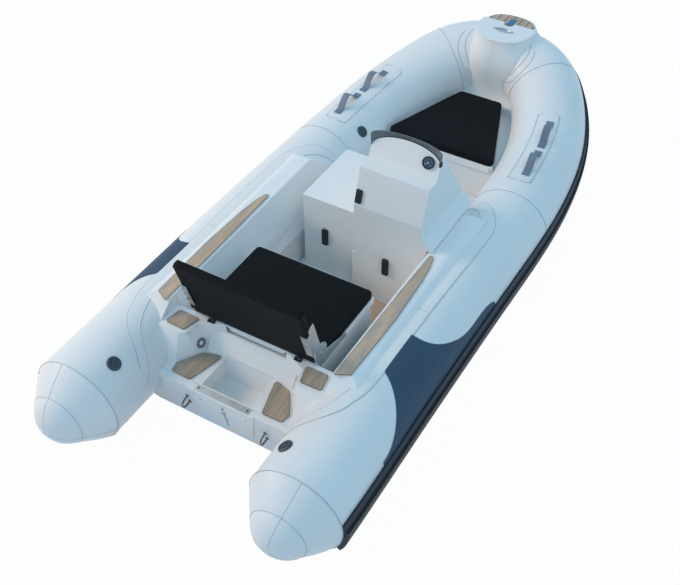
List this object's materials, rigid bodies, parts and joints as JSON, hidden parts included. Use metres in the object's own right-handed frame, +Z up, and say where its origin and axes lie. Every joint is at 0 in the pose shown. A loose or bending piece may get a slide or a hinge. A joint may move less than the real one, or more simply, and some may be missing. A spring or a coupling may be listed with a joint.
{
  "type": "rigid inflatable boat",
  "caption": "Small rigid inflatable boat: V hull between air tubes, bench seat with folding backrest, tilting console beside a locker box, bow seat and bow step.",
  "frame": {"origin": "on the centreline at the waterline, below the top edge of the transom", "axes": "+X to the bow, +Y to port, +Z up"},
  "size_m": [3.8169, 1.6812, 1.1883],
  "materials": {
    "tube_fabric": "satin coated fabric",
    "strake_rubber": "satin",
    "panel_fabric": "matt",
    "gelcoat": "glossy moulded",
    "teak": "matt, caulked",
    "seat_cloth": "matt vinyl",
    "stainless": "brushed",
    "black_metal": "satin",
    "black_rubber": "matt",
    "handle_rubber": "matt",
    "smoked_glass": "glossy",
    "gauge_face": "glossy",
    "plate_metal": "brushed",
    "strap_webbing": "woven"
  },
  "bodies": {
    "boat": {"tube_port": "tube_fabric", "tube_starboard": "tube_fabric", "tube_bow": "tube_fabric", "stern_cone_port": "tube_fabric", "stern_cone_starboard": "tube_fabric", "rub_strake_port": "strake_rubber", "rub_strake_starboard": "strake_rubber", "side_panel_port": "panel_fabric", "side_panel_starboard": "panel_fabric", "valves": "black_rubber", "handles_port": "handle_rubber", "handles_starboard": "handle_rubber", "hull": "gelcoat", "cockpit_floor": "gelcoat", "stern_deck": "gelcoat", "side_deck_port": "gelcoat", "side_deck_starboard": "gelcoat", "transom_plate": "plate_metal", "transom_eyes": "stainless", "drain_plug": "black_rubber", "well_drain": "black_rubber", "stern_pads": "teak", "step_pads": "teak", "side_deck_pads": "teak", "floor_pad": "teak", "bench_base": "gelcoat", "bench_hinge_bases": "black_metal", "console_base": "gelcoat", "hood_hinge_bases": "stainless", "bow_seat_base": "gelcoat", "bow_hinge_bases": "stainless", "bow_nose": "gelcoat", "bow_step_pad": "teak", "bow_cleat": "stainless", "bow_strap": "strap_webbing"},
    "bench_lid": {"bench_lid": "gelcoat", "bench_cushion": "seat_cloth", "bench_hinge_leaves": "black_metal", "seat_brackets": "stainless"},
    "backrest": {"backrest": "seat_cloth", "backrest_arms": "stainless"},
    "console_hood": {"console_hood": "gelcoat", "windscreen": "smoked_glass", "gauge": "gauge_face", "switch": "black_rubber", "hood_latches": "black_rubber", "hood_hinge_leaves": "stainless"},
    "bow_seat_lid": {"bow_seat_lid": "gelcoat", "bow_cushion": "seat_cloth", "bow_hinge_leaves": "stainless"}
  },
  "joints": [
    {"name": "bench_lid_hinge", "type": "hinge", "parent": "boat", "child": "bench_lid", "pos_m": [0.291, 0, 0.4435], "axis": [0, -1, 0], "range_deg": [0, 50]},
    {"name": "backrest_fold", "type": "hinge", "parent": "bench_lid", "child": "backrest", "pos_m": [0.318, 0, 0.512], "axis": [0, 1, 0], "range_deg": [0, 105]},
    {"name": "hood_tilt", "type": "hinge", "parent": "boat", "child": "console_hood", "pos_m": [1.6475, 0, 0.33], "axis": [0, 1, 0], "range_deg": [0, 40]},
    {"name": "bow_lid_hinge", "type": "hinge", "parent": "boat", "child": "bow_seat_lid", "pos_m": [2.77, 0, 0.305], "axis": [0, 1, 0], "range_deg": [0, 75]}
  ]
}
